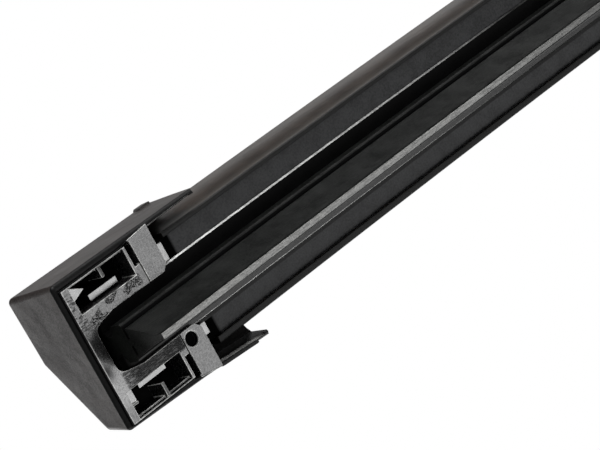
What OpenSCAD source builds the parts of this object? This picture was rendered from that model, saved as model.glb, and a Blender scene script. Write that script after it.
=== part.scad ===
// Flat wiper blade with a bowed pair of steel rails, a rubber squeegee, a one-sided spoiler,
// two closed end caps and a pivoting hook adapter.
// The origin is the middle of the adapter's pivot. +X runs along the blade, +Y points to the
// windward side, +Z points away from the glass. Lengths along the blade follow its bow.

/* [Blade] */
// Length over both end caps, along the bow
blade_len = 600; // [350:5:700]
// Free bow radius at the underside of the rails
bow_r = 1780; // [1300:10:3000]
// Height of the pivot above the underside of the rails
pivot_h = 12; // [11.6:0.1:14]

/* [Rails] */
// Width of one steel rail
rail_w = 3.55; // [3.2:0.05:3.8]
// Thickness of the rails
rail_t = 0.9; // [0.7:0.05:1]
// Half of the gap between the two rails
rail_in = 3.05; // [2.8:0.05:3.2]

/* [Rubber] */
// Width of the lower flange that carries the rails
flange_w = 7.6; // [7.2:0.1:7.7]
// Thickness of the lower flange
flange_t = 0.48; // [0.35:0.01:0.55]
// Width of the upper flange above the rails
crown_w = 7.2; // [6.8:0.1:7.4]
// Thickness of the upper flange
crown_t = 0.6; // [0.4:0.05:0.7]
// Width of the neck under the lower flange
neck_w = 2.2; // [1.6:0.1:2.6]
// Width of the shoulder block
shoulder_w = 4.55; // [4:0.05:5]
// Depth of the shoulder's upper face under the rails
shoulder_top = 2.05; // [1.6:0.05:2.4]
// Depth of the shoulder's lower face under the rails
shoulder_low = 4.1; // [3.6:0.05:4.4]
// Thickness of the tipping hinge under the shoulder
hinge_w = 0.8; // [0.5:0.05:1]
// Height of the slit beside the tipping hinge
hinge_gap = 0.35; // [0.2:0.05:0.5]
// Width of the wedge at its root
wedge_w = 3.45; // [3:0.05:4]
// Width of the wiping lip
lip_w = 0.7; // [0.5:0.05:0.9]
// Depth of the wiping lip under the rails
lip_drop = 10.2; // [9:0.1:11]

/* [Spoiler] */
// Leeward reach of the spoiler's foot
foot_lee = 7; // [6.95:0.05:7.2]
// Windward reach of the spoiler's foot
foot_wind = 7.25; // [7.05:0.05:7.4]
// Height of the ridge above the underside of the rails
ridge_h = 7.5; // [6.5:0.1:7.6]
// Leeward overhang of the ridge past the foot
ridge_lean = 0.45; // [0:0.05:0.5]
// Height of the windward edge above the underside of the rails
wind_edge_h = 1.7; // [1.5:0.1:2.4]
// Hollow of the windward slope under its chord
slope_sag = 1.2; // [0.4:0.1:1.4]
// Hollow of the leeward face behind its chord
lee_sag = 0.75; // [0.2:0.05:0.9]
// Depth of the claws' lips under the rails
claw_drop = 0.8; // [0.5:0.05:1]
// Inner reach of the claws' lips
claw_in = 6.42; // [6.1:0.01:6.5]

/* [End cap shell] */
// Length of the shell, from its end face to its mouth
shell_len = 22.35; // [20:0.05:26]
// Overhang of the shell past the retainer on the leeward side
lee_overhang = 0.85; // [0.8:0.05:1.1]
// Overhang of the shell past the retainer on the windward side
wind_overhang = 0.4; // [0.35:0.05:0.7]
// Narrowing of the leeward side towards the mouth
lee_draw = 0.2; // [0:0.05:0.25]
// Spread of the windward side towards the mouth
wind_spread = 1.1; // [0.7:0.05:1.2]
// Thickness of the shell's walls
shell_wall = 0.72; // [0.6:0.02:0.9]
// Height of the flat part of the roof above the retainer's face
roof_h = 9.95; // [9.7:0.05:10.4]
// Height of the roof's windward edge above the retainer's face
eave_h = 4.95; // [4.8:0.05:5.6]
// Radius of the shell's upper edges
shell_round = 0.65; // [0.5:0.05:0.9]
// Radius of the shell's rim
rim_round = 0.6; // [0.4:0.05:0.65]
// Length of the raised bead on the roof at the mouth
bead_len = 1.6; // [1.2:0.1:2.4]
// Rise of the bead over the roof
bead_rise = 0.22; // [0.14:0.02:0.26]
// Thickness of the shell's walls at the mouth
mouth_wall = 0.48; // [0.44:0.02:0.6]
// Chamfer along the inside of the rim
rim_chamfer = 0.16; // [0.1:0.02:0.2]

/* [Cap retainer] */
// Half width of the retainer at its end bar
frame_hw = 8.45; // [8.3:0.05:8.5]
// Depth of the retainer's face under the rails
frame_drop = 1.3; // [1.25:0.01:1.4]
// Thickness of the retainer's face plate
frame_t = 0.75; // [0.6:0.01:0.76]
// Width of the end bar
end_bar = 1.2; // [0.9:0.05:1.4]
// Half width of the slot for the rubber
slot_hw = 3.42; // [3.2:0.01:3.5]
// Outer reach of the strip beside the slot
strip_out = 4.95; // [4.8:0.05:5.1]
// Length of a pocket
pocket_len = 8.6; // [8:0.1:9]
// Thickness of the wall between pocket and narrow slot
web_t = 0.35; // [0.3:0.05:0.5]
// Width of the narrow slot
slit_w = 0.9; // [0.7:0.05:1]
// Inner end of the narrow slots across the blade
slit_in = 5.75; // [5.6:0.05:5.9]
// Length of the front plates
plate_len = 3.05; // [2.8:0.05:3.4]
// Radius of the round recess in the windward front plate
recess_r = 0.93; // [0.8:0.01:1]
// Thickness of the ribs in the pockets
rib_t = 0.45; // [0.35:0.05:0.6]

/* [Connector] */
// Length of the steel bracket
bracket_len = 44; // [40:1:50]
// Thickness of the bracket's steel
bracket_t = 1.2; // [1:0.1:1.2]
// Half width of the bracket outside
bracket_hw = 7.7; // [7.7:0.05:7.75]
// Length of the plastic shroud
shroud_len = 64; // [62:1:70]
// Thickness of the shroud's walls
shroud_wall = 1.1; // [0.9:0.1:1.3]
// Radius of the pivot pin
pin_r = 2.5; // [2.2:0.1:2.6]
// Radius of the pin's heads
pin_head_r = 3.8; // [3.4:0.1:4.2]
// Wall of the pivot bushes
bush_wall = 0.65; // [0.5:0.05:0.75]

/* [Adapter] */
// Half width of the channel that takes the arm's hook
channel_hw = 4.7; // [4.6:0.05:4.75]
// Thickness of the adapter's cheeks
cheek_t = 1.5; // [1.3:0.05:1.5]
// Radius of the nose that the hook wraps round
nose_r = 4.6; // [4.4:0.05:4.7]
// Radius of the cheeks round the pivot
cheek_r = 7; // [6.6:0.1:7.4]
// Reach of the adapter's tail from the pivot
tail_len = 20; // [18.5:0.5:21]
// Height of the cheeks above the pivot
cheek_h = 8.9; // [8.7:0.1:9.4]
// Reach of the cover's hinge from the pivot
lid_hinge_x = 11.5; // [11:0.1:12.5]
// Radius of the barrels round the cover's pin
barrel_r = 1.9; // [1.7:0.05:2]
// Radius of the cover's pin
lid_pin_r = 0.9; // [0.8:0.05:1]
// Thickness of the cover
lid_t = 1.3; // [1:0.1:1.6]
// Radius of the cross bore for side pin arms
side_bore_r = 2.45; // [2.4:0.01:2.5]
// Distance of the cross bore from the pivot
side_bore_x = 14; // [13:0.5:15]

/* [Hidden] */

// Clearance between pieces that slide together
fit = 0.05;
// Overshoot of a cut past the face that it opens
over = 1;
// Steps of a full turn of the bow, and of ordinary rounds
bow_fn = 1080;
round_fn = 48;

plastic_black = [0.10, 0.10, 0.10];
rubber_black = [0.06, 0.06, 0.065];
steel_black = [0.16, 0.16, 0.17];
zinc_grey = [0.55, 0.56, 0.58];

// Places in an end cap, measured from the end of the retainer's end bar
shell_end = -0.35;
shell_mouth = shell_end + shell_len;
cap_station = 8.5;
pocket_x1 = end_bar + pocket_len;
slit_x0 = pocket_x1 + web_t;
slit_x1 = slit_x0 + slit_w;
plate_x1 = slit_x1 + plate_len;
rail_end_x = slit_x1 + 0.1;
spoiler_end_x = plate_x1 + 1.6;
rubber_end_x = end_bar + 1.68;
rim_gap = 0.45;
shell_knee = plate_x1 - 2.1;
side_draft = 0.35;
knee_share = 0.44;
wall_t = 0.22;
lid_hinge_z = cheek_h - barrel_r;
adapter_hw = channel_hw + cheek_t;
shell_lee = frame_hw + lee_overhang;
shell_wind = frame_hw + wind_overhang;

// Angle of the bow at which a cap's own straight frame touches it
cap_angle = (blade_len / 2 + shell_end - cap_station) / bow_r * 180 / PI;

// Bow angle of a point that lies x millimetres from the retainer's end bar
function cap_x_angle(x) = cap_angle - (x - cap_station) / bow_r * 180 / PI;
function reach_angle(x) = x / bow_r * 180 / PI;

// Points of a parabola that hangs under the chord from a to b, without its two ends
function sagging(a, b, sag, n) = let (
        d = b - a,
        side = [d[1], -d[0]] / norm(d))
    [for (i = [1 : n - 1]) let (t = i / n) a + d * t + side * (4 * sag * t * (1 - t))];

function arc(c, r, a0, a1, n) = [for (i = [0 : n])
    let (a = a0 + (a1 - a0) * i / n) c + r * [cos(a), sin(a)]];

// A half outline from the top down, closed with its mirror image
function both_sides(half) = concat(half,
    [for (i = [len(half) - 1 : -1 : 0]) [-half[i][0], half[i][1]]]);

// Sweeps a cross-section along the bow between two bow angles. The section is drawn with
// x across the blade and y up from the underside of the rails.
module along_bow(from, to) {
    translate([0, 0, -pivot_h - bow_r])
        rotate([-90, 0, 0])
            rotate([0, 0, from - 90])
                rotate_extrude(angle = to - from, $fn = bow_fn)
                    translate([bow_r, 0])
                        mirror([1, -1])
                            children();
}

// Moves a cap's straight frame to its place on the bow. Inside it x is measured from the
// retainer's end bar and z from the retainer's face.
module at_cap(side) {
    mirror([side > 0 ? 1 : 0, 0, 0])
        translate([0, 0, -pivot_h - bow_r])
            rotate([0, -cap_angle, 0])
                translate([-cap_station, 0, bow_r - frame_drop])
                    children();
}

module rubber_section() {
    crown_top = rail_t + fit + crown_t;
    wedge_top = shoulder_low + hinge_gap;
    bead = flange_t / 3;
    web_hw = rail_in - fit;
    polygon(both_sides([
        [crown_w / 2 - 0.2, crown_top],
        [crown_w / 2, crown_top - 0.2],
        [crown_w / 2, rail_t + fit],
        [web_hw, rail_t + fit],
        [web_hw, -fit],
        [flange_w / 2 - bead, -fit],
        [flange_w / 2, -fit - bead / 2],
        [flange_w / 2, -flange_t + bead],
        [flange_w / 2 - bead, -flange_t],
        [neck_w / 2 + 0.5, -flange_t],
        [neck_w / 2, -flange_t - 0.4],
        [neck_w / 2, -shoulder_top + 0.3],
        [shoulder_w / 2 - 0.25, -shoulder_top],
        [shoulder_w / 2, -shoulder_top - 0.2],
        [shoulder_w / 2, -shoulder_low + 0.25],
        [shoulder_w / 2 - 0.25, -shoulder_low],
        [hinge_w / 2, -shoulder_low],
        [hinge_w / 2, -wedge_top],
        [wedge_w / 2, -wedge_top],
        [wedge_w / 2, -wedge_top - 0.25],
        [lip_w / 2, -lip_drop + 0.8],
        [lip_w / 2, -lip_drop]
    ]));
}

module rail_section() {
    translate([rail_in, 0])
        square([rail_w, rail_t]);
}

// The spoiler's foot clasps the outer edges of the rails. The ridge stands on the leeward side.
module spoiler_section() {
    rail_out = rail_in + rail_w + fit;
    seat = rail_t + fit;
    ridge = [-foot_lee - ridge_lean, ridge_h - 0.4];
    slope_start = [ridge[0] + 0.75, ridge_h - 0.1];
    slope_end = [foot_wind - 0.35, wind_edge_h];
    lee_foot = [-foot_lee, -0.1];
    difference() {
        polygon(concat(
            [[-foot_lee + 0.15, -claw_drop], [-foot_lee, -claw_drop + 0.2], lee_foot],
            sagging(lee_foot, ridge, lee_sag, 8),
            [ridge],
            arc([ridge[0] + 0.35, ridge_h - 0.35], 0.35, 180, 70, 4),
            sagging(slope_start, slope_end, slope_sag, 10),
            arc(slope_end - [0, 0.35], 0.35, 90, 0, 3),
            [[foot_wind, -claw_drop + 0.2], [foot_wind - 0.15, -claw_drop],
             [claw_in, -claw_drop], [claw_in, -fit], [rail_out, -fit], [rail_out, seat],
             [crown_w / 2 + 0.3, seat], [crown_w / 2 + 0.3, seat + crown_t + 0.2],
             [-crown_w / 2 - 0.3, seat + crown_t + 0.2], [-crown_w / 2 - 0.3, seat],
             [-rail_out, seat], [-rail_out, -fit], [-claw_in, -fit], [-claw_in, -claw_drop]]));
        polygon([[-foot_lee + 1.7, 2.5], [-foot_lee + 1.7, ridge_h - 2.3], [-0.6, 2.6], [-0.6, 2.5]]);
    }
}

module wiping_rubber() {
    color(rubber_black)
        along_bow(-cap_x_angle(rubber_end_x), cap_x_angle(rubber_end_x))
            rubber_section();
}

module rail(side) {
    color(steel_black)
        along_bow(-cap_x_angle(rail_end_x), cap_x_angle(rail_end_x))
            mirror([side < 0 ? 1 : 0, 0])
                rail_section();
}

// Each half of the spoiler runs from its end cap into the connector's shroud
module spoiler(side) {
    inner = reach_angle(bracket_len / 2 + 1.5);
    outer = cap_x_angle(spoiler_end_x);
    color(plastic_black)
        along_bow(side < 0 ? -outer : inner, side < 0 ? -inner : outer)
            spoiler_section();
}

// Leeward reach of the shell's wall at a place along it
function lee_y(x) = shell_lee - lee_draw * (x - shell_end) / shell_len;

// Windward reach of the shell's wall at a place along it: it spreads from the knee onwards
function wind_y(x) = let (
    share = x < shell_knee
        ? knee_share * (x - shell_end) / (shell_knee - shell_end)
        : knee_share + (1 - knee_share) * (x - shell_knee) / (shell_mouth - shell_knee))
    shell_wind + wind_spread * share;

// Thickness of the shell's walls at a place along it: they thin out towards the mouth
function wall_at(x) = x < shell_knee ? shell_wall
    : shell_wall + (mouth_wall - shell_wall) * (x - shell_knee) / (shell_mouth - shell_knee);

// Corners of the shell across the blade as [y, z, edge radius], grown outwards by g
function shell_corners(x, g) = [
    [-lee_y(x) - g / 2, rim_gap, rim_round],
    [wind_y(x) + g, rim_gap, rim_round],
    [-lee_y(x) + side_draft - g, roof_h + g, shell_round],
    [-0.75, roof_h - 0.3 + g, shell_round],
    [wind_y(x) - side_draft + g, eave_h + g, shell_round]];

// One length of the shell's solid outline. Balls at the corners round every edge.
module shell_length(g, x0, x1) {
    hull()
        for (x = [x0, x1], c = shell_corners(x, g)) {
            along = x < 1 ? 1 : 0;
            across = c[0] < -1 ? 1 : c[0] > 1 ? -1 : 0;
            up = c[1] > roof_h / 3 ? -1 : 1;
            translate([x + along * c[2], c[0] + across * c[2], c[1] + up * c[2]])
                sphere(c[2], $fn = 24);
        }
}

module shell_solid(g) {
    shell_length(g, shell_end, shell_knee);
    shell_length(g, shell_knee, shell_mouth + 2);
}

// Solid between outlines across the blade. Each ring is [x, outline] with the same number of
// points, and the rings follow each other along x.
module loft(rings) {
    n = len(rings[0][1]);
    last = (len(rings) - 1) * n;
    polyhedron(
        points = [for (r = rings, p = r[1]) [r[0], p[0], p[1]]],
        faces = concat(
            [[for (i = [n - 1 : -1 : 0]) i], [for (i = [0 : n - 1]) last + i]],
            [for (k = [0 : n : last - 1], i = [0 : n - 1]) let (next = (i + 1) % n)
                each [[k + i, k + next, k + n + i], [k + next, k + n + next, k + n + i]]]));
}

// Outline of the room inside the shell at one place along it
function room_ring(x) = let (
    lee = lee_y(x) - wall_at(x),
    wind = max(frame_hw + 0.1, wind_y(x) - wall_at(x)),
    top = roof_h - shell_wall,
    eave = eave_h - shell_wall)
    [x, [[-lee, -over], [-lee + side_draft, top - 0.4], [-lee + side_draft + 0.4, top],
         [-0.9, top - 0.3], [wind - side_draft - 0.4, eave], [wind - 0.2, eave - 0.5], [wind, -over]]];

// Outline of the chamfer along the inside of the rim at one place along the shell
function rim_ring(x) = let (
    lee = lee_y(x) - wall_at(x) + rim_chamfer,
    wind = wind_y(x) - wall_at(x) + rim_chamfer,
    low = rim_gap + 0.05,
    high = low + 2.8 * rim_chamfer)
    [x, [[-lee, -over], [-lee, low], [-lee + 2 * rim_chamfer, high],
         [wind - 2 * rim_chamfer, high], [wind, low], [wind, -over]]];

// Room inside the shell, open below and at the mouth
module shell_room() {
    loft([room_ring(shell_end + shell_wall), room_ring(shell_knee), room_ring(shell_mouth + 3)]);
    loft([rim_ring(plate_x1 + 0.2), rim_ring(shell_mouth - 0.4)]);
}

// Side view of the shell: the mouth leans back a little and rounds off under the roof
module mouth_outline() {
    rotate([90, 0, 0])
        linear_extrude(4 * shell_lee, center = true)
            polygon([[shell_end - over, -over], [shell_mouth + 0.1, -over],
                     [shell_mouth + 0.15, 0.6], [shell_mouth + 0.45, 1], [shell_mouth + 0.4, 4.5],
                     [shell_mouth + 0.1, roof_h - 1.4], [shell_mouth - 0.4, roof_h - 0.4],
                     [shell_mouth - 1.2, roof_h + over], [shell_end - over, roof_h + over]]);
}

// Room of the bead that runs across the roof at the mouth
module bead_outline() {
    rotate([90, 0, 90])
        translate([0, 0, shell_mouth - bead_len])
            linear_extrude(bead_len + over)
                polygon([[-shell_lee - 1, roof_h - 1], [shell_wind + 2, eave_h - 0.8],
                         [shell_wind + 2, roof_h + 1], [-shell_lee - 1, roof_h + 1]]);
}

// Height of the roof's underside over a place across the shell, on its windward slope
function roof_under(y) = let (
        low = frame_hw + wind_overhang - side_draft - 0.9)
    roof_h - shell_wall - 0.3 + (eave_h - roof_h + 0.3) * (y + 0.9) / low;

// Two legs hang from the roof and snap behind the retainer's strips
module snap_leg(side) {
    leg_in = strip_out + 0.25;
    leg_t = 0.7;
    leg_z = frame_drop + 0.4;
    leg_top = side < 0 ? roof_h - shell_wall + 0.3 : roof_under(leg_in) + 0.2;
    translate([end_bar + 2.9, side < 0 ? -leg_in - leg_t : leg_in, leg_z])
        difference() {
            cube([pocket_len / 2, leg_t, leg_top - leg_z]);
            translate([-over, -over, 0])
                rotate([0, -55, 0])
                    translate([-3, 0, -3])
                        cube([3, 3, 3]);
        }
}

module cap_shell(side) {
    color(plastic_black)
        at_cap(side) {
            difference() {
                union() {
                    intersection() {
                        shell_solid(0);
                        mouth_outline();
                    }
                    intersection() {
                        shell_length(bead_rise, shell_knee, shell_mouth + 2);
                        mouth_outline();
                        bead_outline();
                    }
                    wind_lip();
                }
                shell_room();
            }
            for (s = [-1, 1])
                snap_leg(s);
        }
}

// Low lip on the windward rim beside the mouth
module wind_lip() {
    x0 = plate_x1 + 0.35;
    x1 = shell_mouth - 1.6;
    lip = 0.1;
    translate([0, 0, rim_gap + 0.12])
        linear_extrude(0.83)
            polygon([[x0, wind_y(x0) - 0.3], [x0, wind_y(x0) + lip / 2], [x0 + 0.4, wind_y(x0) + lip],
                     [x1 - 0.2, wind_y(x1) + lip], [x1, wind_y(x1) + lip / 2], [x1, wind_y(x1) - 0.3]]);
}

// Half of the retainer's face: end bar, strip beside the slot, pocket and inner part of the
// front plate
module face_half() {
    wall = frame_hw - wall_t;
    difference() {
        polygon([[0, 0], [0, frame_hw], [0.25, frame_hw + 0.05], [plate_x1, frame_hw + 0.05],
                 [plate_x1, slot_hw + 0.7], [plate_x1 - 0.75, slot_hw - 0.07],
                 [plate_x1 - 3, slot_hw - 0.07], [5, slot_hw], [2.7, slot_hw - 0.42],
                 [2.2, slot_hw - 0.62], [1.85, slot_hw - 1.0], [end_bar + 0.5, slot_hw - 1.6],
                 [end_bar + 0.5, 0]]);
        // pocket
        translate([end_bar, strip_out])
            square([pocket_len, wall - strip_out]);
    }
}

// Thin ear that carries the front plate out under the shell's rim
module plate_ear(side) {
    reach = side < 0 ? 0.55 : 0.85;
    polygon([[slit_x0 - 0.6, frame_hw - 0.2], [slit_x0 - 0.3, frame_hw + 0.05],
             [slit_x0 + 0.2, frame_hw + 0.2], [slit_x1, frame_hw + reach / 2],
             [plate_x1, frame_hw + reach], [plate_x1, frame_hw - 0.2]]);
}

// Ribs and gussets in a pocket
module pocket_ribs(side) {
    wall = frame_hw - wall_t;
    rib_in = frame_hw - (side < 0 ? 1.55 : 1.95);
    translate([end_bar + pocket_len * 0.56 - rib_t / 2, rib_in, 0.12])
        cube([rib_t, wall - rib_in, 2.7]);
    if (side > 0) {
        translate([end_bar - 0.1, frame_hw - 2, 0.25])
            cube([1.1, 0.3, 2]);
        translate([end_bar - 0.1, strip_out - 0.1, 0.6])
            cube([1.25, 1.6, 0.9]);
    } else {
        translate([0, 0, 0.45])
            linear_extrude(0.5)
                polygon([[end_bar - 0.1, wall], [end_bar, wall], [end_bar + 2.1, wall - 1.13],
                         [end_bar - 0.1, wall - 1.88]]);
    }
}

module retainer_half(side) {
    slit_out = frame_hw + 0.05;
    rail_room = rail_in + rail_w + 0.12;
    seat_z = frame_drop - fit;
    seat_len = side < 0 ? 2.2 : 1.45;
    // what stands above the shell's rim keeps clear of its walls
    core_x = 0.45;
    core_hw = frame_hw - 0.24;
    rise = 2.1;
    mirror([0, side < 0 ? 1 : 0, 0]) {
        difference() {
            union() {
                linear_extrude(rim_gap - fit) {
                    face_half();
                    plate_ear(side);
                }
                translate([0, 0, rim_gap - 0.1])
                    linear_extrude(frame_t - rim_gap + 0.1)
                        intersection() {
                            face_half();
                            translate([core_x, 0])
                                square([plate_x1, core_hw]);
                        }
                // walls that rise round the pocket and tie the front plate to the end bar
                translate([0, 0, frame_t - 0.1]) {
                    translate([core_x, slot_hw + 0.1, 0])
                        cube([end_bar - core_x, core_hw - slot_hw - 0.1, rise]);
                    translate([core_x, core_hw - wall_t, 0])
                        cube([slit_x0 - core_x, wall_t, rise]);
                    translate([core_x, strip_out - 0.55, 0])
                        cube([slit_x1, 0.55, rise]);
                    translate([pocket_x1, strip_out - 0.55, 0])
                        cube([web_t, core_hw - strip_out + 0.55, rise]);
                }
                // socket that the rail's end slides into
                translate([slit_x1, slot_hw + 0.55, frame_t - 0.1])
                    cube([plate_len - 0.1, core_hw - slot_hw - 0.55, rise + 0.6]);
                // seat that reaches out under the rail, stepped back from the plate's edge
                translate([plate_x1 - 0.3, slot_hw + 0.6, 0.85])
                    cube([1.3, seat_len, seat_z - 0.85]);
                translate([plate_x1 + 0.17, slot_hw + 0.6, 0.5])
                    cube([0.83, seat_len, seat_z - 0.5]);
                pocket_ribs(side);
            }
            // room for the rail
            translate([slit_x1, 0, seat_z])
                cube([plate_x1, rail_room, rail_t + 2 * fit]);
            // narrow slot, with a fine groove that carries it on to the rubber's slot
            translate([slit_x0, slit_in, -over])
                cube([slit_w, slit_out - slit_in, 2 * over + frame_t]);
            translate([slit_x1 - 0.16, 0, -over])
                cube([0.16, slit_in + 0.1, over + 0.35]);
            if (side > 0)
                // round blind recess with a broken edge
                translate([slit_x1 + 1.08, slot_hw + 1.19, 0]) {
                    translate([0, 0, -over])
                        cylinder(r = recess_r - 0.1, h = over + 0.6, $fn = round_fn);
                    translate([0, 0, -0.1])
                        cylinder(r1 = recess_r + 0.1, r2 = recess_r - 0.1, h = 0.2, $fn = round_fn);
                }
        }
    }
}

module cap_retainer(side) {
    color(plastic_black)
        at_cap(side)
            for (s = [-1, 1])
                retainer_half(s);
}

// The bracket's foot across the blade: it rests on the rails and hooks round their outer edges
module bracket_foot() {
    rail_out = rail_in + rail_w + fit;
    seat = rail_t + fit;
    deck = pivot_h - 9;
    for (m = [0, 1])
        mirror([m, 0])
            polygon([[0, deck - 0.8], [crown_w / 2 + 0.2, deck - 0.8], [crown_w / 2 + 0.2, seat],
                     [rail_out, seat], [rail_out, -fit], [rail_out - 1, -fit], [rail_out - 1, -1],
                     [bracket_hw - 0.3, -1], [bracket_hw, -0.7], [bracket_hw, deck], [0, deck]]);
}

// Side view of a cheek of the bracket, round the pivot
module cheek_outline() {
    deck_z = -9.4;
    difference() {
        union() {
            circle(r = pin_r + 2, $fn = round_fn);
            polygon([[-14, deck_z], [14, deck_z], [pin_r + 1.7, 1], [-pin_r - 1.7, 1]]);
        }
        circle(r = pin_r + 0.02, $fn = round_fn);
    }
}

module connector_bracket() {
    half = reach_angle(bracket_len / 2);
    claw_len = 10;
    color(zinc_grey) {
        difference() {
            along_bow(-half, half)
                bracket_foot();
            // the claws stand at the bracket's ends
            for (s = [-1, 1])
                translate([-bracket_len / 2 + claw_len, s < 0 ? -20 : rail_in + rail_w - 1.2, -20 - pivot_h])
                    cube([bracket_len - 2 * claw_len, 20 - rail_in - rail_w + 1.2, 20 + rail_t]);
        }
        for (s = [-1, 1])
            translate([0, s * (bracket_hw - bracket_t / 2), 0])
                rotate([90, 0, 0])
                    linear_extrude(bracket_t, center = true)
                        cheek_outline();
    }
}

// The shroud's outline across the blade, g inside its outer face
function shroud_points(g) = let (
    side = bracket_hw + fit + shroud_wall - g,
    foot = -claw_drop - 0.2) [
    [-side, foot],
    [-side, ridge_h + 0.8 - g],
    [-side + 1.7 - g / 2, ridge_h + 2.2 - g],
    [-0.8, ridge_h + 1.6 - g],
    [side, eave_h - 0.4 - g],
    [side, foot]];

module connector_shroud() {
    window = bracket_hw + 0.03;
    color(plastic_black)
        translate([0, 0, -pivot_h])
            difference() {
                rotate([90, 0, 90])
                    linear_extrude(shroud_len, center = true)
                        polygon(shroud_points(0));
                rotate([90, 0, 90])
                    linear_extrude(shroud_len + 2 * over, center = true)
                        polygon(shroud_points(shroud_wall));
                translate([0, 0, -claw_drop - 0.7])
                    cube([shroud_len + 2 * over, 2 * bracket_hw + 2 * fit, 1.2], center = true);
                // window for the adapter and the bracket's cheeks
                translate([-tail_len - 3, -window, rail_t + 1])
                    cube([tail_len + 3 + lid_hinge_x + 5, 2 * window, 20]);
                // room for the pin's heads
                translate([0, 0, pivot_h])
                    rotate([90, 0, 0])
                        cylinder(r = pin_head_r + 0.4, h = 4 * bracket_hw, center = true, $fn = round_fn);
                // the ends slope down to the spoiler
                for (s = [0, 1])
                    mirror([s, 0, 0])
                        translate([shroud_len / 2 - 3.4, -15, ridge_h + 2.3])
                            rotate([0, 38, 0])
                                cube([20, 30, 12]);
            }
}

module pivot_pin() {
    head = bracket_hw + 0.02;
    color(zinc_grey)
        rotate([90, 0, 0]) {
            cylinder(r = pin_r, h = 2 * head, center = true, $fn = round_fn);
            for (s = [0, 1])
                mirror([0, 0, s])
                    translate([0, 0, head]) {
                        cylinder(r = pin_head_r, h = 0.5, $fn = round_fn);
                        translate([0, 0, 0.5])
                            rotate_extrude($fn = round_fn)
                                polygon([[0, 0], [pin_head_r, 0], [pin_head_r - 0.35, 0.25],
                                         [pin_head_r - 1.2, 0.4], [0, 0.45]]);
                    }
        }
}

// Flanged bush between the pin and one side of the adapter
module pivot_bush(side) {
    flange_out = bracket_hw - bracket_t - fit;
    collar_t = flange_out - adapter_hw - fit;
    barrel = pin_r + fit + bush_wall;
    color("gainsboro")
        mirror([0, side < 0 ? 1 : 0, 0])
            translate([0, flange_out, 0])
                rotate([90, 0, 0])
                    difference() {
                        union() {
                            cylinder(r = barrel, h = flange_out - 1, $fn = round_fn);
                            cylinder(r = barrel + 1.2, h = collar_t, $fn = round_fn);
                        }
                        translate([0, 0, -over])
                            cylinder(r = pin_r + fit, h = flange_out + 2 * over, $fn = round_fn);
                    }
}

// Side view of one cheek of the adapter
module adapter_outline() {
    circle(r = cheek_r, $fn = round_fn);
    translate([lid_hinge_x, lid_hinge_z])
        circle(r = barrel_r, $fn = round_fn);
    polygon([[-tail_len, -2.2], [-tail_len + 1, -3], [-4, -cheek_r + 1.3], [5, -4.9],
             [lid_hinge_x + barrel_r - 0.3, lid_hinge_z - 1], [lid_hinge_x, cheek_h],
             [-tail_len + 1.2, cheek_h], [-tail_len, cheek_h - 1.2]]);
}

module arm_adapter() {
    bush_r = pin_r + 2 * fit + bush_wall;
    side_z = 0.4;
    spine_top = nose_r - 1.2;
    width = 2 * adapter_hw;
    color(plastic_black)
        rotate([90, 0, 0])
            difference() {
                union() {
                    for (s = [-1, 1])
                        translate([0, 0, s * (channel_hw + cheek_t / 2)])
                            linear_extrude(cheek_t, center = true)
                                adapter_outline();
                    // nose and spine between the cheeks
                    linear_extrude(2 * channel_hw + 0.2, center = true) {
                        circle(r = nose_r, $fn = round_fn);
                        polygon([[-tail_len + 0.6, -2.6], [0, -nose_r + 0.4], [0, nose_r - 0.4],
                                 [-3, spine_top], [-tail_len + 0.6, spine_top]]);
                    }
                    // catch that clicks into the hook's strap
                    translate([-8.5, spine_top - 0.1, 0])
                        rotate([-90, 0, 0])
                            cylinder(r = 1.4, h = 1, $fn = round_fn);
                }
                cylinder(r = bush_r, h = width + 2 * over, center = true, $fn = round_fn);
                translate([-side_bore_x, side_z, 0])
                    cylinder(r = side_bore_r, h = width + 2 * over, center = true, $fn = round_fn);
                translate([lid_hinge_x, lid_hinge_z, 0])
                    cylinder(r = lid_pin_r + 0.02, h = width + 2 * over, center = true, $fn = round_fn);
                // slits that free the catch's tongue
                for (s = [-1, 1])
                    translate([-9.2, spine_top - 1.2, s * 2.2])
                        cube([6.4, 3, 0.6], center = true);
                translate([-6.2, spine_top - 1.2, 0])
                    cube([0.6, 3, 5], center = true);
            }
}

// Cover that flips up round its pin at the adapter's front
module adapter_cover() {
    top_hw = adapter_hw + 0.2;
    base_z = cheek_h + 0.1;
    crown_r = 60;
    color(plastic_black)
        difference() {
            union() {
                rotate([90, 0, 0])
                    linear_extrude(2 * top_hw, center = true)
                        polygon(concat(
                            [[-tail_len, base_z], [lid_hinge_x + 1, base_z],
                             [lid_hinge_x + barrel_r, base_z + 0.5]],
                            arc([-4, base_z - crown_r + lid_t + 0.9], crown_r, 76, 104, 10),
                            [[-tail_len, base_z + 0.5]]));
                rotate([90, 0, 0])
                    linear_extrude(2 * (channel_hw - 0.1), center = true) {
                        translate([lid_hinge_x, lid_hinge_z])
                            circle(r = barrel_r - 0.2, $fn = round_fn);
                        translate([lid_hinge_x - 1.2, lid_hinge_z])
                            square([2.6, barrel_r + 0.3]);
                    }
            }
            translate([lid_hinge_x, 0, lid_hinge_z])
                rotate([90, 0, 0])
                    cylinder(r = lid_pin_r + fit, h = 4 * top_hw, center = true, $fn = round_fn);
        }
}

module cover_hinge_pin() {
    color(zinc_grey)
        translate([lid_hinge_x, 0, lid_hinge_z])
            rotate([90, 0, 0])
                cylinder(r = lid_pin_r, h = 2 * adapter_hw - 0.4, center = true, $fn = round_fn);
}

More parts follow.
